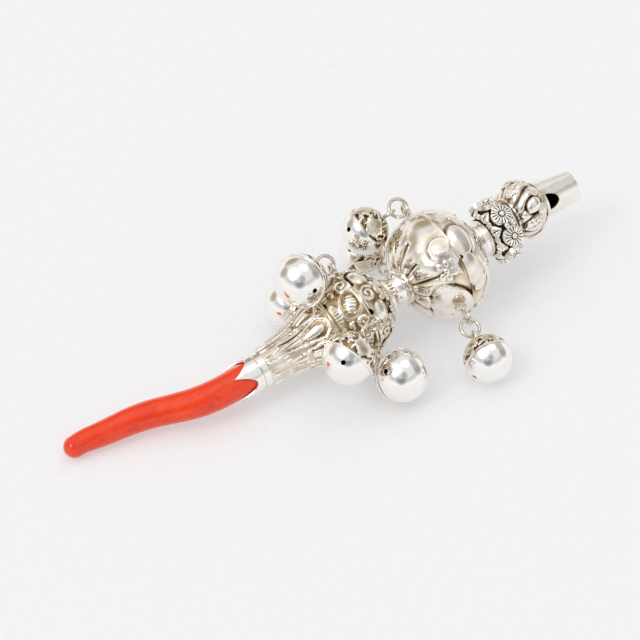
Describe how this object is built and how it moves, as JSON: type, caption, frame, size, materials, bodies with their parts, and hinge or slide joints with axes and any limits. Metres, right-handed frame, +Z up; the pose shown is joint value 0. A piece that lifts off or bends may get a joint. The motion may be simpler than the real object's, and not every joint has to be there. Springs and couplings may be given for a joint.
{
  "type": "baby rattle",
  "caption": "Silver baby rattle with a coral teether at one end, a whistle at the other, and small bells on jump rings round two chased bulbs.",
  "frame": {"origin": "under the centre of the bounding box, on the surface that the rattle lies on", "axes": "+X along the rattle from the coral to the whistle, +Z up, +Y to the left of +X"},
  "size_m": [0.1434, 0.0596, 0.0317],
  "materials": {
    "silver_chased": "bright chased silver with tarnish in the hollows",
    "silver_polished": "mirror-polished silver with fine scratches",
    "silver_wire": "drawn silver wire, slightly tarnished",
    "silver_oxidised": "cast silver, dark in the recesses",
    "coral": "polished red-orange coral, glossy",
    "cement": "setting cement",
    "iron": "plain iron shot"
  },
  "bodies": {
    "root": {"coral_teether": "coral", "socket_cement": "cement", "crown_collar": "silver_polished", "trumpet_socket": "silver_chased", "lower_bulb_rear_shell": "silver_chased", "lower_bulb_front_shell": "silver_chased", "lower_neck_collar": "silver_polished", "upper_bulb_rear_shell": "silver_chased", "upper_bulb_front_shell": "silver_chased", "upper_neck_collar": "silver_polished", "rosette_knop": "silver_oxidised", "rosettes": "silver_oxidised", "fluted_knop": "silver_chased", "whistle_mouthpiece": "silver_polished", "fipple_block": "silver_polished", "chamber_plug": "silver_polished", "bell_1_lug": "silver_wire", "bell_2_lug": "silver_wire", "bell_3_lug": "silver_wire", "bell_4_lug": "silver_wire", "bell_5_lug": "silver_wire", "bell_6_lug": "silver_wire", "bell_7_lug": "silver_wire"},
    "bell_1_ring": {"bell_1_ring": "silver_wire"},
    "bell_1": {"bell_1_eyelet": "silver_wire", "bell_1_cap": "silver_chased", "bell_1_bowl": "silver_polished"},
    "bell_1_pellet": {"bell_1_pellet": "iron"},
    "bell_2_ring": {"bell_2_ring": "silver_wire"},
    "bell_2": {"bell_2_eyelet": "silver_wire", "bell_2_cap": "silver_chased", "bell_2_bowl": "silver_polished"},
    "bell_2_pellet": {"bell_2_pellet": "iron"},
    "bell_3_ring": {"bell_3_ring": "silver_wire"},
    "bell_3": {"bell_3_eyelet": "silver_wire", "bell_3_cap": "silver_chased", "bell_3_bowl": "silver_polished"},
    "bell_3_pellet": {"bell_3_pellet": "iron"},
    "bell_4_ring": {"bell_4_ring": "silver_wire"},
    "bell_4": {"bell_4_eyelet": "silver_wire", "bell_4_cap": "silver_chased", "bell_4_bowl": "silver_polished"},
    "bell_4_pellet": {"bell_4_pellet": "iron"},
    "bell_5_ring": {"bell_5_ring": "silver_wire"},
    "bell_5": {"bell_5_eyelet": "silver_wire", "bell_5_cap": "silver_chased", "bell_5_bowl": "silver_polished"},
    "bell_5_pellet": {"bell_5_pellet": "iron"},
    "bell_6_ring": {"bell_6_ring": "silver_wire"},
    "bell_6": {"bell_6_eyelet": "silver_wire", "bell_6_cap": "silver_chased", "bell_6_bowl": "silver_polished"},
    "bell_6_pellet": {"bell_6_pellet": "iron"},
    "bell_7_ring": {"bell_7_ring": "silver_wire"},
    "bell_7": {"bell_7_eyelet": "silver_wire", "bell_7_cap": "silver_chased", "bell_7_bowl": "silver_polished"},
    "bell_7_pellet": {"bell_7_pellet": "iron"}
  },
  "joints": [
    {"name": "bell_1_ring_swing", "type": "hinge", "parent": "root", "child": "bell_1_ring", "pos_m": [0.00272, 0.01069, 0.02229], "axis": [-0.0629, -0.7986, 0.5985], "range_deg": [-110, 0]},
    {"name": "bell_1_swing", "type": "hinge", "parent": "bell_1_ring", "child": "bell_1", "pos_m": [-0.00087, 0.01114, 0.02251], "axis": [-0.0209, -0.5985, -0.8008], "range_deg": [-40, 45]},
    {"name": "bell_1_pellet_roll", "type": "hinge", "parent": "bell_1", "child": "bell_1_pellet", "pos_m": [-0.00791, 0.00779, 0.0252], "axis": [0, 1, 0], "range_deg": [-150, 150]},
    {"name": "bell_2_ring_swing", "type": "hinge", "parent": "root", "child": "bell_2_ring", "pos_m": [0.00473, 0.01322, 0.00316], "axis": [-0.0824, 0.6157, 0.7837], "range_deg": [-110, 0]},
    {"name": "bell_2_swing", "type": "hinge", "parent": "bell_2_ring", "child": "bell_2", "pos_m": [0.00115, 0.01357, 0.00251], "axis": [-0.1851, -0.7821, 0.595], "range_deg": [-15, 90]},
    {"name": "bell_2_pellet_roll", "type": "hinge", "parent": "bell_2", "child": "bell_2_pellet", "pos_m": [-0.00415, 0.01815, 0.00687], "axis": [0, 1, 0], "range_deg": [-150, 150]},
    {"name": "bell_3_ring_swing", "type": "hinge", "parent": "root", "child": "bell_3_ring", "pos_m": [0.0031, -0.00903, 0.01865], "axis": [0.0886, -0.5299, -0.8434], "range_deg": [-110, 0]},
    {"name": "bell_3_swing", "type": "hinge", "parent": "bell_3_ring", "child": "bell_3", "pos_m": [-0.00053, -0.00941, 0.01851], "axis": [-0.0662, 0.8417, -0.5358], "range_deg": [-8, 90]},
    {"name": "bell_3_pellet_roll", "type": "hinge", "parent": "bell_3", "child": "bell_3_pellet", "pos_m": [-0.00786, -0.01183, 0.0156], "axis": [0, 1, 0], "range_deg": [-150, 150]},
    {"name": "bell_4_ring_swing", "type": "hinge", "parent": "root", "child": "bell_4_ring", "pos_m": [0.00469, -0.0085, 0.00353], "axis": [0.0846, 0.5878, -0.8046], "range_deg": [-75, 15]},
    {"name": "bell_4_swing", "type": "hinge", "parent": "bell_4_ring", "child": "bell_4", "pos_m": [0.00415, -0.01116, 0.00153], "axis": [-0.9878, -0.0564, -0.1451], "range_deg": [-90, 10]},
    {"name": "bell_4_pellet_roll", "type": "hinge", "parent": "bell_4", "child": "bell_4_pellet", "pos_m": [0.00367, -0.0172, 0.00714], "axis": [0, 1, 0], "range_deg": [-150, 150]},
    {"name": "bell_5_ring_swing", "type": "hinge", "parent": "root", "child": "bell_5_ring", "pos_m": [0.02852, 0.0166, 0.02364], "axis": [-0.0867, -0.5592, 0.8245], "range_deg": [-110, 0]},
    {"name": "bell_5_swing", "type": "hinge", "parent": "bell_5_ring", "child": "bell_5", "pos_m": [0.0249, 0.01646, 0.02316], "axis": [0.1104, -0.8279, -0.5499], "range_deg": [-50, 6]},
    {"name": "bell_5_pellet_roll", "type": "hinge", "parent": "bell_5", "child": "bell_5_pellet", "pos_m": [0.01804, 0.01777, 0.01981], "axis": [0, 1, 0], "range_deg": [-150, 150]},
    {"name": "bell_6_ring_swing", "type": "hinge", "parent": "root", "child": "bell_6_ring", "pos_m": [0.02787, 0.01626, 0.00396], "axis": [-0.0846, 0.5878, 0.8046], "range_deg": [-100, 8]},
    {"name": "bell_6_swing", "type": "hinge", "parent": "bell_6_ring", "child": "bell_6", "pos_m": [0.02519, 0.01812, 0.00232], "axis": [-0.6736, -0.6287, 0.3885], "range_deg": [-22, 90]},
    {"name": "bell_6_pellet_roll", "type": "hinge", "parent": "bell_6", "child": "bell_6_pellet", "pos_m": [0.02211, 0.02394, 0.0064], "axis": [0, 1, 0], "range_deg": [-150, 150]},
    {"name": "bell_7_ring_swing", "type": "hinge", "parent": "root", "child": "bell_7_ring", "pos_m": [0.02743, -0.01347, 0.00812], "axis": [0.0982, 0.342, -0.9345], "range_deg": [-90, 40]},
    {"name": "bell_7_swing", "type": "hinge", "parent": "bell_7_ring", "child": "bell_7", "pos_m": [0.02598, -0.01637, 0.0069], "axis": [-0.9771, 0.2114, -0.0253], "range_deg": [-90, 70]},
    {"name": "bell_7_pellet_roll", "type": "hinge", "parent": "bell_7", "child": "bell_7_pellet", "pos_m": [0.02436, -0.02394, 0.00652], "axis": [0, 1, 0], "range_deg": [-150, 150]}
  ]
}
